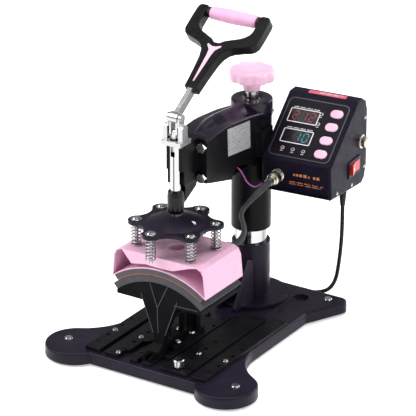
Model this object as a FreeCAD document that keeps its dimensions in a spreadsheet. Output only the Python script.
"""Curved-platen cap heat press with a swing-over arm, a toggle handle and a timer box.

Millimetres, +Z up.  X runs across the press, -Y is the operator's side.  The origin is
on the table, under the middle of the press's bounding box.  The column stands at
column_y, and most places below are given from the column's axis with at().
"""
import FreeCAD
import Part
import Sketcher
import math
import os

V = FreeCAD.Vector
X_AXIS = V(1, 0, 0)
Y_AXIS = V(0, 1, 0)
Z_AXIS = V(0, 0, 1)

doc = FreeCAD.newDocument("cap_heat_press")
NODES = []

# ---------------------------------------------------------------- driving dimensions
DIMS = {
    # base casting and its rubber feet
    "column_y": 97.0,
    "foot_rise": 3.0,
    "casting_thick": 16.0,
    "casting_half": 97.0,
    "lobe_half": 119.0,
    "lobe_radius": 42.0,
    "lobe_y": -252.0,
    "casting_front_y": -273.0,
    "casting_rear_y": 60.0,
    "rear_corner_half": 125.0,
    "edge_round": 3.0,
    "front_foot_half": 132.5,
    "front_foot_y": -250.4,
    "rear_foot_half": 99.1,
    "rear_foot_y": 43.6,
    "foot_radius": 15.0,
    "plate_thick": 5.0,
    "plate_front_y": -265.0,
    # column, arm and pressure knob
    "flange_radius": 53.0,
    "flange_thick": 5.0,
    "pillar_radius": 26.5,
    "pillar_top": 103.5,
    "post_radius": 22.0,
    "post_gap": 0.08,
    "post_top": 262.0,
    "sleeve_radius": 27.5,
    "sleeve_bottom": 125.5,
    "sleeve_top": 289.0,
    "arm_bottom": 227.0,
    "arm_half": 24.0,
    "arm_wall": 2.5,
    "arm_front_y": -146.0,
    "knob_radius": 31.5,
    "knob_bottom": 338.0,
    "knob_thick": 16.0,
    "stem_radius": 9.0,
    # platens: one common centre line for all the curved layers
    "plunger_y": -188.0,
    "arc_centre": 23.0,
    "saddle_radius": 101.8,
    "pad_outer": 111.2,
    "heat_inner": 111.7,
    "sheet_outer": 112.7,
    "heat_outer": 120.0,
    "lower_half_angle": 40.0,
    "upper_half_angle": 35.6,
    "platen_front_y": -230.3,
    "platen_rear_y": -139.2,
    "cover_top": 162.0,
    "star_bottom": 194.0,
    "star_thick": 4.5,
    "bolt_circle": 53.0,
    "bolt_turn": 24.5,
    "spring_radius": 6.6,
    "spring_wire": 0.95,
    # toggle and handle
    "pivot_up": 345.5,
    "clevis_up": 299.6,
    "crank": 20.0,
    "rod_radius": 7.6,
    "handle_lean": 33.0,
    "grip_reach": 172.0,
    # control box
    "box_turn": 6.0,
    "box_width": 102.0,
    "box_wall": 2.5,
    "box_round": 2.2,
    "panel_foot": 243.0,
    "panel_slope": 37.0,
    # leads
    "power_lead": 5.6,
    "heater_lead": 8.4,
    "ground_lead": 2.0,
    "coil_middle": 60.0,
}

sheet = doc.addObject("Spreadsheet::Sheet", "dims")
for row, (alias, value) in enumerate(DIMS.items(), start=1):
    sheet.set("A%d" % row, alias)
    sheet.set("B%d" % row, str(value))
    sheet.setAlias("B%d" % row, alias)
doc.recompute()


def at(x, y, z):
    """A place given from the column's axis, in the part's own frame."""
    return V(x, DIMS["column_y"] + y, z)


def placed(x, y, z, axis=Z_AXIS, angle=0.0):
    return FreeCAD.Placement(at(x, y, z), FreeCAD.Rotation(axis, angle))


def keep(obj, node):
    """Name a finished sub-part: its label is its node and its file name."""
    obj.Label = node
    NODES.append(obj)
    return obj


def bind(obj, **sizes):
    """Bind properties to sheet cells, given as expressions on the aliases."""
    for prop, value in sizes.items():
        if isinstance(value, str):
            obj.setExpression(prop, value)
        else:
            setattr(obj, prop, value)
    return obj


# ---------------------------------------------------------------- building helpers
def cylinder(name, place, radius, height, axis=Z_AXIS):
    obj = doc.addObject("Part::Cylinder", name)
    bind(obj, Radius=radius, Height=height)
    obj.Placement = FreeCAD.Placement(place, FreeCAD.Rotation(Z_AXIS, axis))
    return obj


def cone(name, place, radius_low, radius_high, height, axis=Z_AXIS):
    obj = doc.addObject("Part::Cone", name)
    bind(obj, Radius1=radius_low, Radius2=radius_high, Height=height)
    obj.Placement = FreeCAD.Placement(place, FreeCAD.Rotation(Z_AXIS, axis))
    return obj


def box(name, corner, length, width, height, rotation=None):
    obj = doc.addObject("Part::Box", name)
    bind(obj, Length=length, Width=width, Height=height)
    obj.Placement = FreeCAD.Placement(corner, rotation or FreeCAD.Rotation())
    return obj


def fuse(name, *shapes):
    obj = doc.addObject("Part::MultiFuse", name)
    obj.Shapes = list(shapes)
    return obj


def cut(name, base, *tools):
    """Base with every tool taken out of it."""
    obj = doc.addObject("Part::Cut", name)
    obj.Base = base
    obj.Tool = tools[0] if len(tools) == 1 else fuse(name + "_tools", *tools)
    return obj


def group(name, *shapes):
    """Identical or matching pieces that stay separate solids in one node."""
    obj = doc.addObject("Part::Compound", name)
    obj.Links = list(shapes)
    return obj


def feature(name, shape):
    obj = doc.addObject("Part::Feature", name)
    obj.Shape = shape
    return obj


def origin_plane(body, role):
    for plane in body.Origin.OriginFeatures:
        if plane.Role == role:
            return plane
    raise RuntimeError("no plane " + role)


def rounded(name, base, radius, wanted):
    """Fillet the edges of base that the test accepts."""
    doc.recompute()
    edges = [(i, radius, radius) for i, edge in enumerate(base.Shape.Edges, start=1) if wanted(edge)]
    made = doc.addObject("Part::Fillet", name)
    made.Base = base
    made.Edges = edges
    return made


def extrude(name, role, points, length, placement, reverse=False, midplane=False):
    """A PartDesign body: a closed outline on an origin plane, padded by length.

    A point is a pair of numbers or sheet expressions, each driven by a constraint.
    """
    body = doc.addObject("PartDesign::Body", name)
    sketch = body.newObject("Sketcher::SketchObject", name + "_outline")
    sketch.AttachmentSupport = [(origin_plane(body, role), "")]
    sketch.MapMode = "FlatFace"
    count = len(points)
    start = [V(math.cos(2 * math.pi * i / count), math.sin(2 * math.pi * i / count), 0)
             for i in range(count)]
    for i, (px, py) in enumerate(points):
        if not isinstance(px, str) and not isinstance(py, str):
            start[i] = V(px, py, 0)
    for i in range(count):
        sketch.addGeometry(Part.LineSegment(start[i], start[(i + 1) % count]), False)
    for i in range(count):
        sketch.addConstraint(Sketcher.Constraint("Coincident", i, 2, (i + 1) % count, 1))
    for i, point in enumerate(points):
        for kind, value in zip(("DistanceX", "DistanceY"), point):
            first = value if not isinstance(value, str) else 1.0
            index = sketch.addConstraint(Sketcher.Constraint(kind, -1, 1, i, 1, first))
            if isinstance(value, str):
                sketch.setExpression("Constraints[%d]" % index, value)
    pad = body.newObject("PartDesign::Pad", name + "_pad")
    pad.Profile = sketch
    bind(pad, Length=length)
    pad.Reversed = reverse
    pad.Midplane = midplane
    body.Placement = placement
    return body


def turned(name, profile, placement, angle=360.0):
    """A PartDesign body turned about its own Z axis from (radius, height) points."""
    body = doc.addObject("PartDesign::Body", name)
    sketch = body.newObject("Sketcher::SketchObject", name + "_profile")
    sketch.AttachmentSupport = [(origin_plane(body, "XZ_Plane"), "")]
    sketch.MapMode = "FlatFace"
    count = len(profile)
    for i in range(count):
        here, there = profile[i], profile[(i + 1) % count]
        sketch.addGeometry(Part.LineSegment(V(*here, 0), V(*there, 0)), False)
    for i in range(count):
        sketch.addConstraint(Sketcher.Constraint("Coincident", i, 2, (i + 1) % count, 1))
        sketch.addConstraint(Sketcher.Constraint("DistanceX", -1, 1, i, 1, profile[i][0]))
        sketch.addConstraint(Sketcher.Constraint("DistanceY", -1, 1, i, 1, profile[i][1]))
    spin = body.newObject("PartDesign::Revolution", name + "_turn")
    spin.Profile = sketch
    spin.ReferenceAxis = (sketch, ["V_Axis"])
    spin.Angle = angle
    body.Placement = placement
    return body


def facing(direction, place):
    """A placement whose own Z axis points along direction."""
    return FreeCAD.Placement(place, FreeCAD.Rotation(Z_AXIS, direction))


def prism(points, direction):
    """A solid from a flat closed outline of points, swept along direction."""
    wire = Part.makePolygon(points + [points[0]])
    return Part.Face(wire).extrude(direction)


# ---------------------------------------------------------------- heights used below
FOOT = DIMS["foot_rise"]
DECK = FOOT + DIMS["casting_thick"]
PLATE_TOP = DECK + DIMS["plate_thick"]
PLUNGER_Y = DIMS["plunger_y"]
FRONT_Y = DIMS["platen_front_y"]
REAR_Y = DIMS["platen_rear_y"]
DEPTH = REAR_Y - FRONT_Y
STAR_TOP = DIMS["star_bottom"] + DIMS["star_thick"]
COVER_TOP = DIMS["cover_top"]


# ---------------------------------------------------------------- base
def casting_outline():
    """Half outline on the right, then mirrored: lobed front, waisted neck, flared rear."""
    half = DIMS["casting_half"]
    lobe = V(DIMS["lobe_half"], DIMS["lobe_y"], 0)
    radius = DIMS["lobe_radius"]

    def on_lobe(angle):
        turn = math.radians(angle)
        return lobe + V(math.cos(turn), math.sin(turn), 0) * radius

    front_y = DIMS["casting_front_y"]
    front_angle = -180 - math.degrees(math.asin((front_y - lobe.y) / radius))
    lobe_in = on_lobe(front_angle)
    lobe_out = on_lobe(60)
    neck = V(half, -150, 0)
    waist = V(half, -12, 0)
    rear = DIMS["rear_corner_half"]
    rear_y = DIMS["casting_rear_y"]
    corner_in = V(rear - 2, 42, 0)
    corner_out = V(rear - 15, rear_y, 0)
    right = [
        Part.LineSegment(V(0, front_y, 0), lobe_in).toShape(),
        Part.Arc(lobe_in, on_lobe(-45), lobe_out).toShape(),
        Part.Arc(lobe_out, V(111, -190, 0), neck).toShape(),
        Part.LineSegment(neck, waist).toShape(),
        Part.LineSegment(waist, corner_in).toShape(),
        Part.Arc(corner_in, V(rear - 3, rear_y - 5, 0), corner_out).toShape(),
        Part.LineSegment(corner_out, V(0, rear_y, 0)).toShape(),
    ]
    left = [edge.mirror(V(0, 0, 0), X_AXIS) for edge in right]
    return Part.Wire(Part.__sortEdges__(right + left))


def base_casting():
    """Cast base: rounded top edge, pockets underneath, shallow recesses behind the rails."""
    thick = DIMS["casting_thick"]
    body = Part.Face(casting_outline()).extrude(V(0, 0, thick))
    rim = [e for e in body.Edges if e.BoundBox.ZMin > thick - 1e-6]
    body = body.makeFillet(DIMS["edge_round"], rim)
    floor_thick = 6.0
    pocket_depth = thick - floor_thick
    for x0, x1, y0, y1 in ((-88, -4, -262, -70), (4, 88, -262, -70), (-88, 88, 8, 52)):
        body = body.cut(Part.makeBox(x1 - x0, y1 - y0, pocket_depth, V(x0, y0, 0)))
    slot_half, slot_front, slot_rear = 11.0, -20.0, 27.0
    for side in (-1, 1):
        middle = side * 65.0
        recess = Part.makeBox(2 * slot_half, slot_rear - slot_front, 3,
                              V(middle - slot_half, slot_front, thick - 3))
        ends = [Part.makeCylinder(slot_half, 3, V(middle, y, thick - 3))
                for y in (slot_front, slot_rear)]
        body = body.cut(recess.multiFuse(ends))
        well = Part.makeCylinder(8, 4.5, V(middle, slot_rear, thick - 4.5))
        body = body.cut(well)
    for x, y in foot_places():
        body = body.cut(Part.makeCylinder(3.2, thick, V(x, y, 0)))
    obj = feature("base_casting", body.removeSplitter())
    obj.Placement = placed(0, 0, FOOT)
    return keep(obj, "base_casting")


def foot_places():
    front = (DIMS["front_foot_half"], DIMS["front_foot_y"])
    rear = (DIMS["rear_foot_half"], DIMS["rear_foot_y"])
    return [(side * x, y) for x, y in (front, rear) for side in (-1, 1)]


def feet():
    """Rubber feet under the lobes, and the flat-headed screws that hold them from above."""
    pads, screws = [], []
    for i, (x, y) in enumerate(foot_places()):
        pads.append(cylinder("foot_pad_%d" % i, at(x, y, 0), "dims.foot_radius", "dims.foot_rise"))
        shank = cylinder("foot_shank_%d" % i, at(x, y, FOOT), 3.0, "dims.casting_thick")
        head = cone("foot_head_%d" % i, at(x, y, DECK), 6.0, 4.8, 1.8)
        screws.append(fuse("foot_screw_%d" % i, shank, head))
    keep(group("foot_pads", *pads), "foot_pads")
    return screws


RAIL_SCREWS = [(-46, -258.8), (-46, -204.3), (46, -204.3), (-88, -204.3), (88, -204.3)]
THUMB_PLACE = (46.0, -253.0)
STAND_SCREWS = [(-10, -200), (10, -200), (-10, -166), (10, -166)]


def rail_plate(name, outline, lines):
    """A steel strip with screw holes and short cross slots along each hole line."""
    plate = extrude(name + "_strip", "XY_Plane", outline, "dims.plate_thick", placed(0, 0, DECK))
    tools = []
    for line, x in enumerate(lines):
        for k, y in enumerate((-221.0, -187.0)):
            tools.append(cylinder("%s_hole_%d%d" % (name, line, k), at(x, y, DECK - 1), 2.7, 8.0))
        for k, y in enumerate((-244.5, -163.5)):
            tools.append(box("%s_slot_%d%d" % (name, line, k), at(x - 4, y - 1.1, DECK - 1), 8.0, 2.2, 8.0))
    for k, (x, y) in enumerate(RAIL_SCREWS):
        if x in lines:
            tools.append(cylinder("%s_screw_hole_%d" % (name, k), at(x, y, DECK - 1), 2.3, 8.0))
    if THUMB_PLACE[0] in lines:
        tools.append(cylinder(name + "_thumb_hole", at(*THUMB_PLACE, DECK - 1), 3.3, 8.0))
    keep(cut(name, plate, *tools), name)


def rails():
    front, rear = "dims.plate_front_y", -58.0
    rail_plate("left_outer_rail", [(-94.5, front), (-71.7, front), (-71.7, rear), (-94.5, rear)], [-88])
    stepped = [(-63.5, front), (-42.6, front), (-42.6, -247), (-37, -243), (-37, -214),
               (-30, -209), (-25.5, -200), (-25.5, -66), (-63.5, -66)]
    rail_plate("left_inner_rail", stepped, [-46])
    rail_plate("right_inner_rail", [(25.7, front), (65.7, front), (65.7, -66), (25.7, -66)], [46])
    rail_plate("right_outer_rail", [(73.3, front), (94.5, front), (94.5, rear), (73.3, rear)], [88])
    middle = [(-24, front), (-12.5, front), (-12.5, -252), (-3.5, -252), (-3.5, front), (9, front),
              (9, -236), (22, -236), (22, -88), (10, -88), (10, -104), (-10, -104), (-10, -88),
              (-24, -88)]
    plate = extrude("middle_strip", "XY_Plane", middle, "dims.plate_thick", placed(0, 0, DECK))
    holes = [cylinder("middle_hole_%d" % i, at(x, y, DECK - 1), 2.7, 8.0)
             for i, (x, y) in enumerate(((17, -122), (-18, -122)))]
    holes += [box("middle_slot_%d" % i, at(x - 4, y - 1.1, DECK - 1), 8.0, 2.2, 8.0)
              for i, (x, y) in enumerate(((-19, -243), (16.5, -98)))]
    keep(cut("stand_plate", plate, *holes), "stand_plate")


def screw(name, place, shank, length, head, head_high):
    """A pan-head screw: its head sits on place and its shank goes down."""
    stem = cylinder(name + "_shank", place - V(0, 0, length), shank, length)
    cap = cone(name + "_head", place, head, head * 0.72, head_high)
    return fuse(name, stem, cap)


def deck_screws(foot_screws):
    """The foot screws, and pan-head screws that hold the rails and the stand's sole."""
    screws = foot_screws + [screw("rail_screw_%d" % i, at(x, y, PLATE_TOP), 2.3, DIMS["plate_thick"], 4.0, 1.9)
              for i, (x, y) in enumerate(RAIL_SCREWS)]
    screws += [screw("stand_screw_%d" % i, at(x, y, PLATE_TOP + 6), 2.6, 6.0, 4.6, 2.2)
               for i, (x, y) in enumerate(STAND_SCREWS)]
    keep(group("deck_screws", *screws), "deck_screws")


def thumb_screw():
    """Knurled lock screw that stands in the right inner rail."""
    profile = [(0, -5), (3.2, -5), (3.2, 0.2), (4.2, 0.2), (4.2, 2.0), (7.3, 2.0), (7.3, 11.0),
               (6.4, 12.0), (0, 12.0)]
    keep(turned("thumb_screw", profile, placed(*THUMB_PLACE, PLATE_TOP)), "thumb_screw")


# ---------------------------------------------------------------- column
def column():
    """Flanged socket with two webs in front, and the chrome post that stands in it."""
    disc = cylinder("socket_flange", at(0, 0, DECK), "dims.flange_radius", "dims.flange_thick")
    pillar = cylinder("socket_pillar", at(0, 0, DECK), "dims.pillar_radius",
                      "dims.pillar_top - dims.foot_rise - dims.casting_thick")
    low = DECK + 2
    webs = []
    for i, middle in enumerate((-14, 14)):
        outline = [at(middle - 3, -8, low), at(middle - 3, -65, low), at(middle - 3, -65, low + 4),
                   at(middle - 3, -26, 84), at(middle - 3, -8, 84)]
        webs.append(feature("socket_web_%d" % i, prism(outline, V(6, 0, 0))))
    bore = cylinder("socket_bore", at(0, 0, DECK - 1), "dims.post_radius", 120.0)
    keep(cut("column_socket", fuse("socket_solid", disc, pillar, *webs), bore), "column_socket")

    post = cylinder("post_tube", at(0, 0, DECK), "dims.post_radius",
                    "dims.post_top - dims.foot_rise - dims.casting_thick")
    thread = cylinder("post_thread", at(0, 0, 60), "dims.stem_radius + 0.05", 300.0)
    keep(cut("post", post, thread), "post")


# ---------------------------------------------------------------- saddle stand and platens
def arc_band(name, inner, outer, half_angle, front=FRONT_Y, depth=DEPTH):
    """A curved layer: a slice of a tube that lies along Y, over the common centre."""
    tube = []
    for part, radius in (("outer", outer), ("inner", inner)):
        obj = doc.addObject("Part::Cylinder", "%s_%s" % (name, part))
        bind(obj, Radius=radius, Height=depth, Angle="2 * dims." + half_angle)
        turn = FreeCAD.Rotation(Y_AXIS, 90 - DIMS[half_angle] - 180)
        lay = FreeCAD.Rotation(X_AXIS, -90)
        obj.Placement = FreeCAD.Placement(at(0, front, DIMS["arc_centre"]), turn.multiply(lay))
        tube.append(obj)
    return cut(name, tube[0], tube[1])


def saddle_stand():
    """Cast stand: curved saddle on a tapered pedestal, a windowed web and a long foot."""
    centre = DIMS["arc_centre"]
    radius = DIMS["saddle_radius"] - 0.05
    wing_low = 94.6
    tip = 67.0
    crown = at(0, FRONT_Y + 1, centre)
    disc = Part.makeCylinder(radius, DEPTH - 2, crown, Y_AXIS)
    block = Part.makeBox(2 * tip, DEPTH - 2, 60, at(-tip, FRONT_Y + 1, wing_low))
    saddle = disc.common(block)
    for side in (-1, 1):
        hollow = Part.makeBox(40, DEPTH - 22, 60, at(side * 45 - 20, FRONT_Y + 11, wing_low - 40))
        under = Part.makeCylinder(radius - 5, DEPTH - 22, at(0, FRONT_Y + 11, centre), Y_AXIS)
        saddle = saddle.cut(under.common(hollow))
    neck_low = 50.0
    front = FRONT_Y + 1

    def pedestal(y, thick, half_low, half_high):
        outline = [at(-half_low, y, neck_low), at(half_low, y, neck_low),
                   at(half_high, y, wing_low + 8), at(-half_high, y, wing_low + 8)]
        return prism(outline, V(0, thick, 0))

    parts = [pedestal(front, 9, 9.5, 29), pedestal(REAR_Y - 10, 9, 9.5, 29)]
    web = [at(-4, front + 2, PLATE_TOP), at(-4, REAR_Y - 2, PLATE_TOP),
           at(-4, REAR_Y - 2, wing_low + 6), at(-4, front + 2, wing_low + 6)]
    parts.append(prism(web, V(8, 0, 0)))
    toe = [at(-8, front - 31, PLATE_TOP), at(-8, front - 31, PLATE_TOP + 4.5), at(-8, front - 15, PLATE_TOP + 7),
           at(-8, front - 4, PLATE_TOP + 15), at(-8, front, neck_low + 2), at(-8, front + 9, neck_low + 2),
           at(-8, front + 9, PLATE_TOP)]
    parts.append(prism(toe, V(16, 0, 0)))
    heel = Part.makeBox(16, 10, neck_low - PLATE_TOP + 2, at(-8, REAR_Y - 12, PLATE_TOP))
    sole = Part.makeBox(30, REAR_Y - front - 14, 6, at(-15, front + 12, PLATE_TOP))
    stand = saddle.multiFuse(parts + [heel, sole])
    for y0, y1, z0, z1 in ((-206, -176, 36, 62), (-206, -176, 68, 84), (-170, -154, 36, 62)):
        stand = stand.cut(Part.makeBox(20, y1 - y0, z1 - z0, at(-10, y0, z0)))
    slot = Part.makeBox(5, 14, 20, at(-2.5, front - 32, PLATE_TOP - 1))
    stand = stand.cut(slot)
    for x, y in STAND_SCREWS:
        stand = stand.cut(Part.makeCylinder(2.6, 12, at(x, y, PLATE_TOP - 1)))
    keep(feature("saddle_stand", stand.removeSplitter()), "saddle_stand")


GLAND_PLACE = (46.0, REAR_Y, 151.0)


def platens():
    """Foam pad on the saddle; heater, release sheet and pressed-steel cover above it."""
    keep(arc_band("lower_pad", "dims.saddle_radius", "dims.pad_outer", "lower_half_angle"), "lower_pad")
    keep(arc_band("release_sheet", "dims.heat_inner", "dims.sheet_outer", "upper_half_angle"), "release_sheet")
    keep(arc_band("heating_element", "dims.sheet_outer", "dims.heat_outer", "upper_half_angle"), "heating_element")

    skin = 1.6
    outer = [(73.6, 119.6), (70.6, 151), (66.8, 158.5), (59.5, COVER_TOP)]
    inner = [(73.6 - skin, 119.6), (70.6 - skin, 150.6), (65.7, 157.2), (59.1, COVER_TOP - skin)]
    profile = outer + [(-x, z) for x, z in reversed(outer)]
    hollow = [(-x, z) for x, z in inner] + [(x, z) for x, z in reversed(inner)]
    band = prism([at(x, FRONT_Y, z) for x, z in profile + hollow], V(0, DEPTH, 0))
    apron_low = [(-43, 143.6), (-20, 147.6), (0, 147.0), (22, 148.0), (46, 157.0)]
    apron = [(-58, COVER_TOP - skin)] + [(x, z) for x, z in apron_low] + [(58, COVER_TOP - skin)]
    parts = [band]
    for y in (FRONT_Y, REAR_Y - skin):
        parts.append(prism([at(x, y, z) for x, z in apron], V(0, skin, 0)))
    centre = DIMS["arc_centre"]
    liner = Part.makeCylinder(DIMS["heat_outer"] + skin, DEPTH, at(0, FRONT_Y, centre), Y_AXIS)
    liner = liner.cut(Part.makeCylinder(DIMS["heat_outer"], DEPTH, at(0, FRONT_Y, centre), Y_AXIS))
    reach = Part.makeBox(2 * 73, DEPTH, 60, at(-73, FRONT_Y, 118))
    parts.append(liner.common(reach))
    cover = parts[0].multiFuse(parts[1:])
    cover = cover.cut(Part.makeCylinder(12.0, 6, at(0, PLUNGER_Y, COVER_TOP - 4)))
    gland_hole = Part.makeCylinder(6.0, 12, at(*GLAND_PLACE) - V(0, 10, 0), Y_AXIS)
    cover = cover.cut(gland_hole)
    for x, y in bolt_places():
        cover = cover.cut(Part.makeCylinder(3.0, 6, at(x, y, COVER_TOP - 4)))
    keep(feature("platen_cover", cover.removeSplitter()), "platen_cover")


def bolt_places():
    """The six spring bolts, round the plunger."""
    places = []
    for i in range(6):
        turn = math.radians(DIMS["bolt_turn"] + 60 * i)
        places.append((DIMS["bolt_circle"] * math.cos(turn), PLUNGER_Y + DIMS["bolt_circle"] * math.sin(turn)))
    return places


def star_plate():
    """Six-armed pressure plate: a domed middle and an eye for each spring bolt."""
    low, thick = DIMS["star_bottom"], DIMS["star_thick"]
    reach = DIMS["bolt_circle"]
    eye = 11.0
    waist = 47.0
    edges = []
    for i in range(6):
        turn = math.radians(DIMS["bolt_turn"] + 60 * i)

        def polar(radius, angle):
            return V(radius * math.cos(turn + angle), radius * math.sin(turn + angle), 0)

        spread = math.radians(14.0)
        step = math.radians(30.0)
        left, right = polar(reach + 1, -spread), polar(reach + 1, spread)
        edges.append(Part.Arc(left, polar(reach + eye, 0), right))
        following = V(*polar(reach + 1, 2 * step - spread))
        edges.append(Part.Arc(right, polar(waist, step), following))
    plate = Part.Face(Part.Wire([edge.toShape() for edge in edges])).extrude(V(0, 0, thick))
    dome_radius, dome_high = 40.0, 9.0
    ball = (dome_radius ** 2 + dome_high ** 2) / (2 * dome_high)
    dome = Part.makeSphere(ball, V(0, 0, thick + dome_high - ball))
    dome = dome.common(Part.makeCylinder(dome_radius, dome_high + 1, V(0, 0, thick - 0.5)))
    plate = plate.fuse(dome)
    plate = plate.cut(Part.makeCylinder(7.0, 40, V(0, 0, -1)))
    slant = math.radians(-30)
    oblong = [Part.makeCylinder(2.4, 40, V(27 + s * math.cos(slant), 1.5 + s * math.sin(slant), -1))
              for s in (-4, 4)]
    bridge = Part.makeBox(8, 4.8, 40, V(-4, -2.4, -1))
    bridge.rotate(V(0, 0, 0), Z_AXIS, -30)
    bridge.translate(V(27, 1.5, 0))
    slit = Part.makeBox(1.4, 10.5, 40, V(-38, 6.5, -1))
    plate = plate.cut(oblong[0].multiFuse([oblong[1], bridge])).cut(slit)
    for x, y in bolt_places():
        plate = plate.cut(Part.makeCylinder(3.08, 20, V(x, y - PLUNGER_Y, -1)))
    obj = feature("star_plate", plate.removeSplitter())
    obj.Placement = placed(0, PLUNGER_Y, low)
    keep(obj, "star_plate")


def spring_bolts():
    """Washer-headed bolts that hang the platen from the star plate, with their springs."""
    bolts, springs = [], []
    wire = DIMS["spring_wire"]
    radius = DIMS["spring_radius"]
    room = DIMS["star_bottom"] - COVER_TOP
    turns = 6
    for i, (x, y) in enumerate(bolt_places()):
        shank = cylinder("spring_shank_%d" % i, at(x, y, COVER_TOP - 4), 3.0, STAR_TOP - COVER_TOP + 4)
        washer = cylinder("spring_washer_%d" % i, at(x, y, STAR_TOP), 7.6, 1.0)
        head = cone("spring_head_%d" % i, at(x, y, STAR_TOP + 1.0), 5.6, 4.2, 2.0)
        bolts.append(fuse("spring_bolt_%d" % i, shank, washer, head))
        coil_high = room - 2 * wire - 0.2
        helix = Part.makeHelix(coil_high / turns, coil_high, radius)
        ring = Part.Wire(Part.makeCircle(wire, V(radius, 0, 0), Y_AXIS))
        coil = Part.Wire(helix.Edges).makePipeShell([ring], True, True)
        spring = feature("spring_%d" % i, coil)
        spring.Placement = placed(x, y, COVER_TOP + wire + 0.1)
        springs.append(spring)
    keep(group("spring_bolts", *bolts), "spring_bolts")
    keep(group("platen_springs", *springs), "platen_springs")


def platen_gland():
    profile = [(4.6, -8), (5.9, -8), (5.9, 0), (8.5, 0), (8.5, 4), (7.0, 10), (4.6, 10)]
    keep(turned("platen_gland", profile, facing(Y_AXIS, at(*GLAND_PLACE))), "platen_gland")


# ---------------------------------------------------------------- plunger and toggle
def plunger():
    """Chrome rod with a clevis on top, and its black collar and splined neck below."""
    clevis_up = DIMS["clevis_up"]
    rod_low, rod_high = 212.0, clevis_up - 9
    rod = cylinder("rod_bar", at(0, PLUNGER_Y, rod_low), "dims.rod_radius", rod_high - rod_low)
    head = cylinder("clevis_head", at(0, PLUNGER_Y, rod_high), "dims.rod_radius", 18.0)
    gap = box("clevis_gap", at(-3.1, PLUNGER_Y - 12, rod_high + 2), 6.2, 24.0, 20.0)
    pin_hole = cylinder("clevis_bore", at(-12, PLUNGER_Y, clevis_up), 3.05, 24.0, X_AXIS)
    keep(cut("plunger_rod", fuse("rod_blank", rod, head), gap, pin_hole), "plunger_rod")
    pin = cylinder("clevis_pin_bar", at(-6.9, PLUNGER_Y, clevis_up), 3.05, 13.8, X_AXIS)
    keep(pin, "clevis_pin")

    bore = DIMS["rod_radius"]
    collar = [(bore, 0), (9.6, 0), (11.2, 5), (11.4, 24), (10.4, 30), (9.2, 32), (bore, 32)]
    keep(turned("plunger_collar", collar, placed(0, PLUNGER_Y, rod_low)), "plunger_collar")
    neck_low = DIMS["star_bottom"] - 3
    shank = cylinder("neck_shank", at(0, PLUNGER_Y, neck_low), 7.0, rod_low - neck_low)
    ridges = []
    for i in range(12):
        turn = math.radians(30 * i)
        place = at(6.9 * math.cos(turn), PLUNGER_Y + 6.9 * math.sin(turn), STAR_TOP + 9.2)
        ridges.append(cylinder("neck_ridge_%d" % i, place, 1.0, rod_low - STAR_TOP - 9.2))
    keep(fuse("plunger_neck", shank, *ridges), "plunger_neck")


GUIDE_TOP = 309.0
LINK_HALF = 2.9
EAR_IN, EAR_OUT = 8.4, 15.2
LUG_IN, LUG_OUT = 6.7, 9.8


def toggle():
    """Fixed jaw with the lever's pivot, the lever bar and the link to the plunger."""
    pivot_up, clevis_up = DIMS["pivot_up"], DIMS["clevis_up"]
    jaw_low, ear_top, lug_low = GUIDE_TOP, 336.0, 334.2
    sides = []
    for side in (-1, 1):
        ear_x = EAR_IN if side > 0 else -EAR_OUT
        lug_x = LUG_IN if side > 0 else -LUG_OUT
        ear = prism([at(ear_x, PLUNGER_Y - 7, jaw_low), at(ear_x, PLUNGER_Y + 6, jaw_low),
                     at(ear_x, PLUNGER_Y + 6, ear_top - 2), at(ear_x, PLUNGER_Y + 4, ear_top),
                     at(ear_x, PLUNGER_Y - 5, ear_top), at(ear_x, PLUNGER_Y - 7, ear_top - 2)],
                    V(EAR_OUT - EAR_IN, 0, 0))
        lug = Part.makeBox(LUG_OUT - LUG_IN, 12, pivot_up - lug_low, at(lug_x, PLUNGER_Y - 6, lug_low))
        eye = Part.makeCylinder(6, LUG_OUT - LUG_IN, at(lug_x, PLUNGER_Y, pivot_up), X_AXIS)
        sides.append(feature("jaw_side_%d" % side, ear.multiFuse([lug, eye]).removeSplitter()))
    plate = box("jaw_plate", at(-EAR_OUT, PLUNGER_Y - 12, jaw_low), 2 * EAR_OUT, 26.0, 6.0)
    rod_room = cylinder("jaw_rod_room", at(0, PLUNGER_Y, jaw_low - 1), 8.1, 26.0)
    bore = cylinder("jaw_bore", at(-20, PLUNGER_Y, pivot_up), 4.0, 40.0, X_AXIS)
    keep(cut("toggle_jaw", fuse("jaw_blank", plate, *sides), rod_room, bore), "toggle_jaw")
    barrel = cylinder("pivot_barrel", at(-LUG_OUT, PLUNGER_Y, pivot_up), 4.0, 2 * LUG_OUT, X_AXIS)
    heads = [cylinder("pivot_head_%d" % s, at(x, PLUNGER_Y, pivot_up), 5.4, 1.6, X_AXIS)
             for s, x in enumerate((-LUG_OUT - 1.6, LUG_OUT))]
    keep(fuse("pivot_pin", barrel, *heads), "pivot_pin")

    crank = DIMS["crank"]
    link_low, link_high = clevis_up, pivot_up - crank
    eye_radius = 4.2
    plates = Part.makeBox(2 * LINK_HALF, 2 * eye_radius, link_high - link_low,
                          at(-LINK_HALF, PLUNGER_Y - eye_radius, link_low))
    ends = [Part.makeCylinder(eye_radius, 2 * LINK_HALF, at(-LINK_HALF, PLUNGER_Y, z), X_AXIS)
            for z in (link_low, link_high)]
    bar = plates.multiFuse(ends)
    bar = bar.cut(Part.makeCylinder(3.1, 40, at(-20, PLUNGER_Y, link_low), X_AXIS))
    keep(feature("toggle_link", bar.removeSplitter()), "toggle_link")


def lean_point(along, lift=0.0, x=0.0):
    """A place on the handle: along it from the pivot, and off its middle plane."""
    lean = math.radians(DIMS["handle_lean"])
    along_axis = V(0, math.cos(lean), math.sin(lean))
    lift_axis = V(0, -math.sin(lean), math.cos(lean))
    return at(x, PLUNGER_Y, DIMS["pivot_up"]) + along_axis * along + lift_axis * lift


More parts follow.
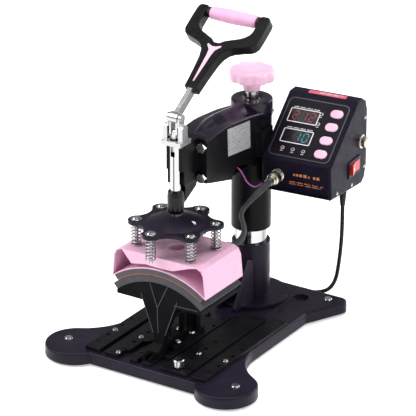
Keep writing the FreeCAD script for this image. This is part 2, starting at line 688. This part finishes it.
def handle():
    """Thin steel lever, moulded Y-shaped frame, grip bar with a soft sleeve, inlay."""
    lean = math.radians(DIMS["handle_lean"])
    lift_axis = V(0, -math.sin(lean), math.cos(lean))
    pivot = at(0, PLUNGER_Y, DIMS["pivot_up"])
    cheek_in, cheek_out = 3.3, 6.3
    crank, crank_deep = DIMS["crank"], 11.0
    bar_half, bar_deep, bar_end = 3.0, 11.8, 66.0
    cheeks = []
    for x0 in (cheek_in, -cheek_out):
        wide = cheek_out - cheek_in
        hub = Part.makeCylinder(7.5, wide, pivot + V(x0, 0, 0), X_AXIS)
        arm_down = Part.makeBox(wide, crank_deep, crank, pivot + V(x0, -crank_deep / 2, -crank))
        toe = Part.makeCylinder(crank_deep / 2, wide, pivot + V(x0, 0, -crank), X_AXIS)
        cheeks.append(hub.multiFuse([arm_down, toe]))
    middle = Part.makeCylinder(7.5, 2 * cheek_in, pivot - V(cheek_in, 0, 0), X_AXIS)
    bar = prism([lean_point(0, -bar_deep / 2, -bar_half), lean_point(bar_end, -bar_deep / 2, -bar_half),
                 lean_point(bar_end, bar_deep / 2, -bar_half), lean_point(0, bar_deep / 2, -bar_half)],
                V(2 * bar_half, 0, 0))
    lever = middle.multiFuse(cheeks + [bar])
    lever = lever.cut(Part.makeCylinder(4.05, 40, at(-20, PLUNGER_Y, DIMS["pivot_up"]), X_AXIS))
    keep(feature("lever_bar", lever.removeSplitter()), "lever_bar")

    outer = [(9, 46), (10.5, 70), (13.5, 98), (17, 110), (24, 117.3), (38, 123.3), (49, 126.5), (56, 134),
             (56, 172.5), (52, 178.6), (41, 178.6)]
    inner = [(41, 150), (37, 141.5), (30, 136.5), (10, 127.7), (4, 122.7)]
    right = outer + inner
    outline = right + [(-x, along) for x, along in reversed(right)]
    thick = 15.0
    frame = prism([lean_point(along, -thick / 2, x) for x, along in outline], lift_axis * thick)
    corners = [e for e in frame.Edges if isinstance(e.Curve, Part.Line)
               and e.Curve.Direction.cross(lift_axis).Length < 1e-6]
    frame = frame.makeFillet(1.8, corners)
    socket = prism([lean_point(40, -bar_deep / 2, -bar_half), lean_point(bar_end, -bar_deep / 2, -bar_half),
                    lean_point(bar_end, bar_deep / 2, -bar_half), lean_point(40, bar_deep / 2, -bar_half)],
                   V(2 * bar_half, 0, 0))
    frame = frame.cut(socket)
    reach = DIMS["grip_reach"]
    frame = frame.cut(Part.makeCylinder(5.0, 104, lean_point(reach, 0, -52), X_AXIS))
    groove_deep = 1.5
    stripe = [(1.6, 58), (3.0, 104), (4.6, 110), (10, 116.5), (10, 119.0), (3, 115.6)]
    stripe = stripe + [(-x, along) for x, along in reversed(stripe)]
    top = thick / 2 - groove_deep
    inlay = prism([lean_point(along, top, x) for x, along in stripe], lift_axis * (groove_deep + 0.3))
    keep(feature("handle_frame", frame.cut(inlay).removeSplitter()), "handle_frame")
    keep(feature("handle_inlay", inlay), "handle_inlay")

    rod = [(0, -52), (5.0, -52), (5.0, -41), (7.4, -40.4), (7.4, -36), (5.0, -36)]
    rod += [(radius, -x) for radius, x in reversed(rod)]
    keep(turned("grip_rod", rod, facing(X_AXIS, lean_point(reach))), "grip_rod")
    sleeve = [(5.0, -35.8), (8.4, -35.8), (9.3, -20), (9.7, 0), (9.3, 20), (8.4, 35.8), (5.0, 35.8)]
    keep(turned("grip_sleeve", sleeve, facing(X_AXIS, lean_point(reach))), "grip_sleeve")


# ---------------------------------------------------------------- arm and knob
BOX_TURN = math.radians(DIMS["box_turn"])
BOX_RIGHT = V(math.cos(BOX_TURN), math.sin(BOX_TURN), 0)
BOX_BACK = V(-math.sin(BOX_TURN), math.cos(BOX_TURN), 0)
BOX_CORNER = at(34.0, -30.3, 0)
SLOPE = math.radians(DIMS["panel_slope"])
PANEL_UP = BOX_BACK * math.cos(SLOPE) + Z_AXIS * math.sin(SLOPE)
PANEL_OUT = BOX_BACK * -math.sin(SLOPE) + Z_AXIS * math.cos(SLOPE)


def in_box(right, back, z):
    """A place in the control box: along its width, then back from its front, then up."""
    return BOX_CORNER + BOX_RIGHT * right + BOX_BACK * back + Z_AXIS * z


def arm():
    """Sleeve on the post, sheet-steel arm box, moulded top cover and front guide block."""
    bore_radius = "dims.post_radius + dims.post_gap"
    tube = cylinder("sleeve_tube", at(0, 0, DIMS["sleeve_bottom"]), "dims.sleeve_radius",
                    "dims.sleeve_top - dims.sleeve_bottom")
    bore = cylinder("sleeve_bore", at(0, 0, DIMS["sleeve_bottom"] - 5), bore_radius,
                    "dims.sleeve_top - dims.sleeve_bottom - 4")
    bearing = cylinder("sleeve_bearing", at(0, 0, 100), "dims.stem_radius + 0.02", 300.0)
    keep(cut("arm_sleeve", tube, bore, bearing), "arm_sleeve")

    half = DIMS["arm_half"]
    front = DIMS["arm_front_y"]
    rear = 8.0
    side = [("dims.arm_front_y", 243), ("dims.arm_front_y", 301.5), (-100, 306), (-45, 300), (rear, 291),
            (rear, "dims.arm_bottom"), (-84, "dims.arm_bottom")]
    shell = extrude("arm_shell", "YZ_Plane", side, "2 * dims.arm_half", placed(0, 0, 0), midplane=True)
    inside = [(front + 3, 246), (front + 3, 320), (rear - 3, 320), (rear - 3, 230), (-83, 230)]
    cavity = extrude("arm_cavity", "YZ_Plane", inside, "2 * dims.arm_half - 2 * dims.arm_wall",
                     placed(0, 0, 0), midplane=True)
    passage = cylinder("arm_passage", at(0, 0, 200), "dims.sleeve_radius", 160.0)
    arch = [(-88, 220), (-86, 232), (-79, 240), (-72, 242), (-50, 237), (-33, 227.5), (-33, 220)]
    notch = feature("arm_notch", prism([at(half - 6, y, z) for y, z in arch], V(12, 0, 0)))
    wedge = [at(half, y, 240) for y in (6, -26)] + [in_box(0, y, 240) for y in (6, 36)]
    bracket = feature("arm_bracket", prism(wedge, V(0, 0, 36)))
    walls = fuse("arm_blank", cut("arm_walls", shell, cavity, notch), bracket)
    keep(cut("arm_box", walls, passage), "arm_box")

    def cover_body(name, grow, low_shift):
        """The cover's plan: D-shaped at the rear, tapering forwards."""
        w = half + 2.5 - grow
        points = [at(-w, 0, 0), at(w, 0, 0), at(w * 0.93, front + grow, 0), at(-w * 0.93, front + grow, 0)]
        plan = prism([V(p.x, p.y, 280) for p in points], V(0, 0, 60))
        plan = plan.fuse(Part.makeCylinder(w, 60, at(0, 0, 280)))
        low = [(front - 1, 301.6), (-100, 306.1), (-45, 300.1), (rear, 291.1), (40, 291.1)]
        high = [(40, 312), (-30, 312), (-62, 310.5), (-100, 310.6), (front - 1, 305)]
        high = [(y, z - low_shift) for y, z in high]
        low = [(y, z - (4 if low_shift else 0)) for y, z in low]
        side_view = prism([at(-60, y, z) for y, z in low + high], V(120, 0, 0))
        return plan.common(side_view)

    cover = cover_body("cover", 0.0, 0.0)
    cover = cover.cut(cover_body("cover_inside", 2.0, 2.0))
    cover = cover.cut(Part.makeCylinder(12.8, 60, at(0, 0, 280)))
    keep(feature("arm_cover", cover.removeSplitter()), "arm_cover")


HEX_ACROSS = 12.0
GUIDE_BOLTS = [(side * 19.6, z) for z in (296.5, 253.5) for side in (-1, 1)]


def hex_bolt(name, place, axis, thread, length, head):
    """A hexagon bolt: its head's underside sits on place, axis points out of the head."""
    stem = cylinder(name + "_thread", place - axis * length, thread, length, axis)
    cap = doc.addObject("Part::Prism", name + "_head")
    bind(cap, Polygon=6, Circumradius=HEX_ACROSS / math.sqrt(3), Height=head)
    cap.Placement = facing(axis, place)
    return fuse(name, stem, cap)


def guide_block():
    """Cast block bolted to the arm's nose: a split bore for the rod, with a tapered tail."""
    face = DIMS["arm_front_y"]
    flange = extrude("guide_flange", "XZ_Plane", [(-26.5, 246), (26.5, 246), (26.5, 304), (22, 308), (-22, 308),
                                                  (-26.5, 304)], 8.0, placed(0, face, 0))
    high = box("guide_high", at(-12.5, PLUNGER_Y - 3, 272), 25.0, face - PLUNGER_Y + 3, GUIDE_TOP - 272)
    tail = prism([at(0, face - 8, 240), at(0, PLUNGER_Y + 12, 222), at(0, PLUNGER_Y, 222), at(0, PLUNGER_Y, 273),
                  at(0, face - 6, 273)], V(25, 0, 0))
    tail.translate(V(-12.5, 0, 0))
    taper = prism([at(-5.5, 0, 221), at(5.5, 0, 221), at(12.5, 0, 252), at(12.5, 0, 280), at(-12.5, 0, 280),
                   at(-12.5, 0, 252)], V(0, -200, 0))
    tail = feature("guide_tail", tail.common(taper))
    rod_room = cylinder("guide_rod_bore", at(0, PLUNGER_Y, 200), "dims.rod_radius + 0.08", 150.0)
    collar_room = cylinder("guide_collar_room", at(0, PLUNGER_Y, 200), 12.4, 72.0)
    holes = [cylinder("guide_hole_%d" % i, at(x, face + 4, z), 4.05, 20.0, -Y_AXIS)
             for i, (x, z) in enumerate(GUIDE_BOLTS)]
    keep(cut("guide_block", fuse("guide_blank", flange, high, tail), rod_room, collar_room, *holes),
         "guide_block")
    bolts = [hex_bolt("guide_bolt_%d" % i, at(x, face - 8, z), -Y_AXIS, 4.0, 8.0, 5.5)
             for i, (x, z) in enumerate(GUIDE_BOLTS)]
    keep(group("guide_bolts", *bolts), "guide_bolts")


def pressure_knob():
    """Scalloped hand knob over the column, and the screw that it turns."""
    radius, low, thick = DIMS["knob_radius"], DIMS["knob_bottom"], DIMS["knob_thick"]
    rim = Part.makeCylinder(radius, thick, V(0, 0, low))
    for i in range(8):
        turn = math.radians(45 * i + 10)
        rim = rim.cut(Part.makeCylinder(12, thick + 2, V((radius + 8.6) * math.cos(turn),
                                                         (radius + 8.6) * math.sin(turn), low - 1)))
    hub = Part.makeCone(9.3, 12.4, 14, V(0, 0, low - 14)).fuse(Part.makeCylinder(9.3, 2, V(0, 0, low - 16)))
    knob = rim.fuse(hub).cut(Part.makeCylinder(DIMS["stem_radius"], thick + 6, V(0, 0, low - 16)))
    knob.translate(at(0, 0, 0))
    keep(feature("pressure_knob", knob.removeSplitter()), "pressure_knob")
    stem = DIMS["stem_radius"]
    top = low + 6
    bearing_top, bearing_low = DIMS["sleeve_top"], DIMS["sleeve_top"] - 9
    profile = [(0, 180), (stem, 180), (stem, bearing_low - 4), (11.5, bearing_low - 4), (11.5, bearing_low),
               (stem, bearing_low), (stem, bearing_top), (11.5, bearing_top), (11.5, bearing_top + 3),
               (stem, bearing_top + 3), (stem, top), (0, top)]
    keep(turned("pressure_screw", profile, placed(0, 0, 0)), "pressure_screw")


# ---------------------------------------------------------------- control box
def on_panel(right, up, out=0.0):
    """A place on the sloped panel: across it, up its slope, and out of its face."""
    return in_box(right, 0, DIMS["panel_foot"]) + PANEL_UP * up + PANEL_OUT * out


def box_frame(right):
    return FreeCAD.Placement(in_box(right, 0, 0), FreeCAD.Rotation(Z_AXIS, DIMS["box_turn"]))


def panel_plate(right, up, wide, high, low, top):
    """A flat piece parallel to the panel, given by its lower left corner."""
    corners = [(right, up), (right + wide, up), (right + wide, up + high), (right, up + high)]
    return prism([on_panel(x, y, low) for x, y in corners], PANEL_OUT * (top - low))


def stadium(right, up, wide, high, low, top):
    """A round-ended key centred on (right, up), parallel to the panel."""
    reach = (wide - high) / 2
    middle = panel_plate(right - reach, up - high / 2, 2 * reach, high, low, top)
    ends = [Part.makeCylinder(high / 2, top - low, on_panel(right + side * reach, up, low), PANEL_OUT)
            for side in (-1, 1)]
    return middle.multiFuse(ends).removeSplitter()


BUTTONS = [85.0, 63.6, 42.0, 20.2]
BUTTON_RIGHT = 80.3
WINDOWS = [(15.8, 61.0), (17.6, 28.2)]
LAMPS = [(58.8, 81.0), (59.8, 65.2), (24.0, 20.4), (39.2, 20.0), (54.8, 19.6)]
SOCKET_PLACE = (25.0, 2.0, 221.0)
SWITCH_PLACE = (61.0, 208.5)
SWITCH_LONG = 34.0
FUSE_PLACE = (100.0, 248.0)
RELIEF_PLACE = (91.0, 68.0, 188.0)
SIDE_SCREWS = [(113.5, 278.0), (112.5, 207.0), (72.0, 194.0), (24.0, 199.5)]


def control_box():
    """Moulded front with side walls, folded rear cover and the screws of the side."""
    wide, wall = DIMS["box_width"], DIMS["box_wall"]
    outline = [(4, 196), (0, "dims.panel_foot"), (88, 309.3), (104, 309.3), (116, 302), (121, 288),
               (121, 206), (115, 190), (106, 184)]
    blank = extrude("box_blank", "YZ_Plane", outline, "dims.box_width", box_frame(0))

    def on_side(edge):
        ends = [BOX_RIGHT.dot(vertex.Point - BOX_CORNER) for vertex in edge.Vertexes]
        return abs(ends[0] - ends[1]) < 1e-6

    blank = rounded("box_rounded", blank, DIMS["box_round"], on_side)
    inside = [(6.6, 100), (2.7, 242.3), (88.8, 306.8), (200, 306.8), (200, 100)]
    room = extrude("box_room", "YZ_Plane", inside, "dims.box_width - 2 * dims.box_wall", box_frame(wall))
    cutters = [feature("key_room_%d" % i, stadium(BUTTON_RIGHT, up, 18.9, 13.4, -8, 6))
               for i, up in enumerate(BUTTONS)]
    for i, (right, up) in enumerate(WINDOWS):
        cutters.append(feature("window_room_%d" % i, panel_plate(right, up, 40, 24, -4, 2)))
    for i, (right, up) in enumerate(LAMPS):
        cutters.append(cylinder("lamp_room_%d" % i, on_panel(right, up, -4), 1.8, 8.0, PANEL_OUT))
    right, back, up = SOCKET_PLACE
    cutters.append(cylinder("socket_room", in_box(right, 12, up), 6.5, 20.0, -BOX_BACK))
    cutters.append(cylinder("socket_seat", in_box(right, back + 0.7, up), 9.3, 12.0, -BOX_BACK))
    for i, (back, up) in enumerate(SIDE_SCREWS):
        cutters.append(cylinder("screw_room_%d" % i, in_box(wide - 4, back, up), 1.42, 8.0, BOX_RIGHT))
    cutters.append(cylinder("fuse_room", in_box(wide - 10, *FUSE_PLACE), 6.0, 20.0, BOX_RIGHT))
    back, up = SWITCH_PLACE
    opening = [in_box(wide - 10, back + y, up + z) for y, z in
               ((0, 0), (SWITCH_LONG, 0), (SWITCH_LONG, 20), (0, 20))]
    cutters.append(feature("switch_room", prism(opening, BOX_RIGHT * 20)))
    keep(cut("box_front", blank, room, *cutters), "box_front")

    outer = [(6.7, 195.7), (106, 184.02), (114.9, 190.05), (120.98, 206), (120.98, 288), (116, 301.9),
             (108.6, 306.3)]
    inner = [(107.4, 305.1), (114.9, 300.9), (119.4, 287.7), (119.4, 206.4), (113.8, 191.3), (105.6, 185.6),
             (6.9, 197.2)]
    cover = extrude("rear_sheet", "YZ_Plane", outer + inner, wide - 2 * wall - 0.2, box_frame(wall + 0.1))
    relief_room = cylinder("relief_room", in_box(*RELIEF_PLACE) - V(0, 0, 10), 5.7, 20.0)
    keep(cut("box_cover", cover, relief_room), "box_cover")

    heads = []
    for i, (back, up) in enumerate(SIDE_SCREWS):
        place = in_box(wide, back, up)
        heads.append(fuse("box_screw_%d" % i, cylinder("box_shank_%d" % i, place - BOX_RIGHT * 2.5, 1.4, 2.5,
                                                       BOX_RIGHT),
                          cone("box_head_%d" % i, place, 2.6, 1.8, 1.2, BOX_RIGHT)))
    keep(group("box_screws", *heads), "box_screws")


def panel_parts():
    """Keys, display windows and lamps on the panel, and the board behind them."""
    for i, up in enumerate(BUTTONS, start=1):
        key = stadium(BUTTON_RIGHT, up, 18.5, 13.0, -8.8, 1.6)
        keep(feature("button_%d" % i, key), "button_%d" % i)
    lenses = [feature("window_%d" % i, panel_plate(right, up, 40, 24, -2.4, 0.5))
              for i, (right, up) in enumerate(WINDOWS)]
    lenses += [cylinder("lamp_%d" % i, on_panel(right, up, -2.4), 1.8, 3.1, PANEL_OUT)
               for i, (right, up) in enumerate(LAMPS)]
    keep(group("panel_lenses", *lenses), "panel_lenses")
    board = feature("board_sheet", panel_plate(8, 14, 86, 84, -12.2, -10.6))
    keep(board, "circuit_board")


def side_fittings():
    """Heater socket and plug in front; fuse holder, mains switch and cord relief."""
    wide = DIMS["box_width"]
    place = in_box(*SOCKET_PLACE)
    socket = [(0, -9), (6.3, -9), (6.3, -0.6), (9.2, 0), (9.2, 2.6), (6.6, 3.4), (6.6, 8), (0, 8)]
    keep(turned("heater_socket", socket, facing(-BOX_BACK, place)), "heater_socket")
    plug = [(0, 8), (8.6, 8), (8.6, 18), (6.8, 19.5), (6.8, 23), (5.6, 24), (5.6, 32), (0, 32)]
    keep(turned("heater_plug", plug, facing(-BOX_BACK, place)), "heater_plug")

    fuse_profile = [(0, -14), (5.8, -14), (5.8, 0), (9.6, 0), (9.6, 2.4), (7.6, 3), (7.6, 8.5), (5, 9.6),
                    (0, 9.6)]
    keep(turned("fuse_holder", fuse_profile, facing(BOX_RIGHT, in_box(wide, *FUSE_PLACE))), "fuse_holder")

    back, up = SWITCH_PLACE

    def side_plate(grow, low, top):
        far = SWITCH_LONG + grow
        corners = ((-grow, -grow), (far, -grow), (far, 20 + grow), (-grow, 20 + grow))
        return prism([in_box(wide + low, back + y, up + z) for y, z in corners], BOX_RIGHT * (top - low))

    bezel = side_plate(1.5, 0, 1.8).fuse(side_plate(0, -14, 0)).cut(side_plate(-2.4, -11, 4))
    keep(feature("switch_bezel", bezel), "switch_bezel")
    tilt = math.radians(9)
    half = SWITCH_LONG / 2 - 3.3
    centre = back + SWITCH_LONG / 2
    middle = in_box(wide + 1.0, centre, up + 2.8)
    face_front = BOX_RIGHT * (2.6 + half * math.sin(tilt)) - BOX_BACK * half
    face_back = BOX_RIGHT * (2.6 - half * math.sin(tilt) * 0.4) + BOX_BACK * half
    points = [middle - BOX_RIGHT * 7 - BOX_BACK * 7, middle - BOX_RIGHT * 1.5 - BOX_BACK * half,
              middle + face_front, middle + BOX_RIGHT * 1.2, middle + face_back,
              middle - BOX_RIGHT * 1.5 + BOX_BACK * half, middle - BOX_RIGHT * 7 + BOX_BACK * 7]
    axle = Part.makeCylinder(1.0, 14.4, in_box(wide - 1.0, centre, up + 2.8), Z_AXIS)
    keep(feature("power_rocker", prism(points, V(0, 0, 14.4)).cut(axle)), "power_rocker")

    relief = [(0, 6), (5.6, 6), (5.6, 1.5), (4.2, 1.5), (4.2, 0), (5.4, -0.6), (5.4, -4), (3.4, -24), (0, -24)]
    keep(turned("cord_relief", relief, placed(0, 0, 0)), "cord_relief")
    NODES[-1].Placement = FreeCAD.Placement(in_box(*RELIEF_PLACE), FreeCAD.Rotation())


# ---------------------------------------------------------------- leads
def lead_path(name, points):
    """Straight runs joined by tangent arcs as large as the runs allow."""
    runs = [points[i + 1] - points[i] for i in range(len(points) - 1)]
    edges = []
    here = points[0]
    radii = []
    for i in range(1, len(points) - 1):
        before, after = V(runs[i - 1]), V(runs[i])
        shorter = min(before.Length, after.Length)
        reach = 0.45 * shorter
        before.normalize()
        after.normalize()
        turn = before.getAngle(after)
        radii.append(reach / math.tan(turn / 2))
        start = points[i] - before * reach
        stop = points[i] + after * reach
        bisector = after - before
        bisector.normalize()
        centre = points[i] + bisector * (radii[-1] / math.cos(turn / 2))
        middle = centre - bisector * radii[-1]
        edges.append(Part.LineSegment(here, start).toShape())
        edges.append(Part.Arc(start, middle, stop).toShape())
        here = stop
    edges.append(Part.LineSegment(here, points[-1]).toShape())
    print(name, "radii", [round(radius, 1) for radius in radii])
    return Part.Wire(edges)


def lead(name, points, diameter):
    """A plain round tube along a lead's route."""
    path = lead_path(name, points)
    start = V(points[1] - points[0])
    start.normalize()
    ring = Part.Wire(Part.makeCircle(diameter / 2, points[0], start))
    tube = path.makePipeShell([ring], True, False)
    expected = math.pi * diameter ** 2 / 4 * path.Length
    print(name, "length %.1f  volume ratio %.4f" % (path.Length, tube.Volume / expected))
    return tube


HEATER_ROUTE = [(64.5, -82.0, 219.0), (55.5, -97.0, 205.5), (43.8, -100.5, 187.5), (52.5, -99.5, 167.5),
                (55.0, -113.0, 154.5)]
GROUND_ROUTE = [(17.5, -70.0, 241.0), (22.0, -66.5, 235.5), (26.0, -62.5, 226.5), (28.0, -57.5, 215.0),
                (29.5, -47.0, 205.0), (30.5, -35.0, 200.0), (32.25, -24.4, 203.0)]
HANG_ROUTE = [(116.6, 48.5, 133.0), (110.5, 57.0, 99.0), (101.5, 67.0, 63.0), (92.5, 75.5, 33.0),
              (77.0, 80.0, 11.0), (50.0, 77.5, 2.9), (14.0, 74.0, 2.9), (-14.0, 76.5, 2.9), (-40.0, 73.6, 2.9)]
COIL_PLACE = (-80.0, 109.0)
COIL_RINGS = 3
COIL_LAYERS = 2
TAIL_ROUTE = [(-97.0, 73.7, 8.5), (-107.0, 74.6, 7.7), (-116.0, 78.4, 7.4), (-124.0, 84.8, 7.7)]


def coil(thick):
    """The outer shape of a flat coil: its rings lie side by side, in layers."""
    middle = DIMS["coil_middle"] / 2
    half_wide = COIL_RINGS * thick / 2
    high = COIL_LAYERS * thick
    bevel = 0.3 * thick
    outer, inner = middle + half_wide, middle - half_wide
    profile = [(inner + bevel, 0), (outer - bevel, 0), (outer, bevel), (outer, high - bevel),
               (outer - bevel, high), (inner + bevel, high), (inner, high - bevel), (inner, bevel)]
    return turned("cord_coil", profile, placed(*COIL_PLACE, 0.1))


def mains_plug(end, direction):
    """A flat two-pin plug that lies on the table at the cord's end."""
    entry = cone("plug_entry", end, 3.4, 5.2, 9.0, direction)
    turn = math.degrees(math.atan2(direction.y, direction.x))
    across = V(-direction.y, direction.x, 0)
    block = box("plug_block", end + direction * 9 - across * 11 - V(0, 0, 7.4), 22.0, 22.0, 14.8,
                FreeCAD.Rotation(Z_AXIS, turn))
    pins = [box("plug_pin_%d" % side, end + direction * 31 + across * (side * 6.3 - 0.8) - V(0, 0, 3.1),
                16.0, 1.6, 6.2, FreeCAD.Rotation(Z_AXIS, turn)) for side in (-1, 1)]
    return fuse("mains_plug", entry, block, *pins)


def leads():
    """The heater's sleeved cable, the earth wire, and the mains lead with its coil and plug."""
    start = in_box(SOCKET_PLACE[0], SOCKET_PLACE[1] - 32, SOCKET_PLACE[2])
    end = at(*GLAND_PLACE) + V(0, 10.6, 0)
    heater = [start] + [at(*point) for point in HEATER_ROUTE] + [end]
    keep(feature("heater_cable", lead("heater_cable", heater, DIMS["heater_lead"])), "heater_cable")
    ground = [at(*point) for point in GROUND_ROUTE]
    keep(feature("ground_lead", lead("ground_lead", ground, DIMS["ground_lead"])), "ground_lead")

    thick = DIMS["power_lead"]
    wound = coil(thick)
    keep(wound, "cord_coil")
    doc.recompute()
    outer_turn = DIMS["coil_middle"] / 2 + thick
    relief_end = in_box(*RELIEF_PLACE) - V(0, 0, 24.6)
    touch = at(COIL_PLACE[0] + 15, COIL_PLACE[1] - outer_turn, 2.9)
    hang = [relief_end] + [at(*point) for point in HANG_ROUTE] + [touch]
    keep(feature("power_cord", lead("power_cord", hang, thick).cut(wound.Shape)), "power_cord")
    tail = [at(*point) for point in TAIL_ROUTE]
    keep(feature("cord_tail", lead("cord_tail", tail, thick).cut(wound.Shape)), "cord_tail")
    heading = tail[-1] - tail[-2]
    heading.z = 0
    heading.normalize()
    keep(mains_plug(tail[-1], heading), "mains_plug")
    turns = COIL_RINGS * COIL_LAYERS
    print("coil length %.0f in %d turns" % (turns * math.pi * DIMS["coil_middle"], turns))


# ---------------------------------------------------------------- finish
def check_and_write():
    doc.recompute()
    for obj in doc.Objects:
        if "Invalid" in obj.State or "Error" in obj.State:
            raise RuntimeError("failed feature " + obj.Label)
    os.makedirs("parts", exist_ok=True)
    whole = FreeCAD.BoundBox()
    for obj in NODES:
        shape = obj.Shape
        if shape.isNull() or not shape.isValid() or not shape.Solids:
            raise RuntimeError("bad shape " + obj.Label)
        shape.exportStep("parts/%s.step" % obj.Label)
        whole.add(shape.optimalBoundingBox())
        print("%-18s solids %2d  volume %10.1f" % (obj.Label, len(shape.Solids), shape.Volume))
    print("nodes", len(NODES))
    print("box x %.2f %.2f  y %.2f %.2f  z %.2f %.2f" % (whole.XMin, whole.XMax, whole.YMin, whole.YMax,
                                                      whole.ZMin, whole.ZMax))


base_casting()
rails()
deck_screws(feet())
thumb_screw()
column()
saddle_stand()
platens()
star_plate()
spring_bolts()
platen_gland()
plunger()
toggle()
handle()
arm()
guide_block()
pressure_knob()
control_box()
panel_parts()
side_fittings()
leads()
check_and_write()
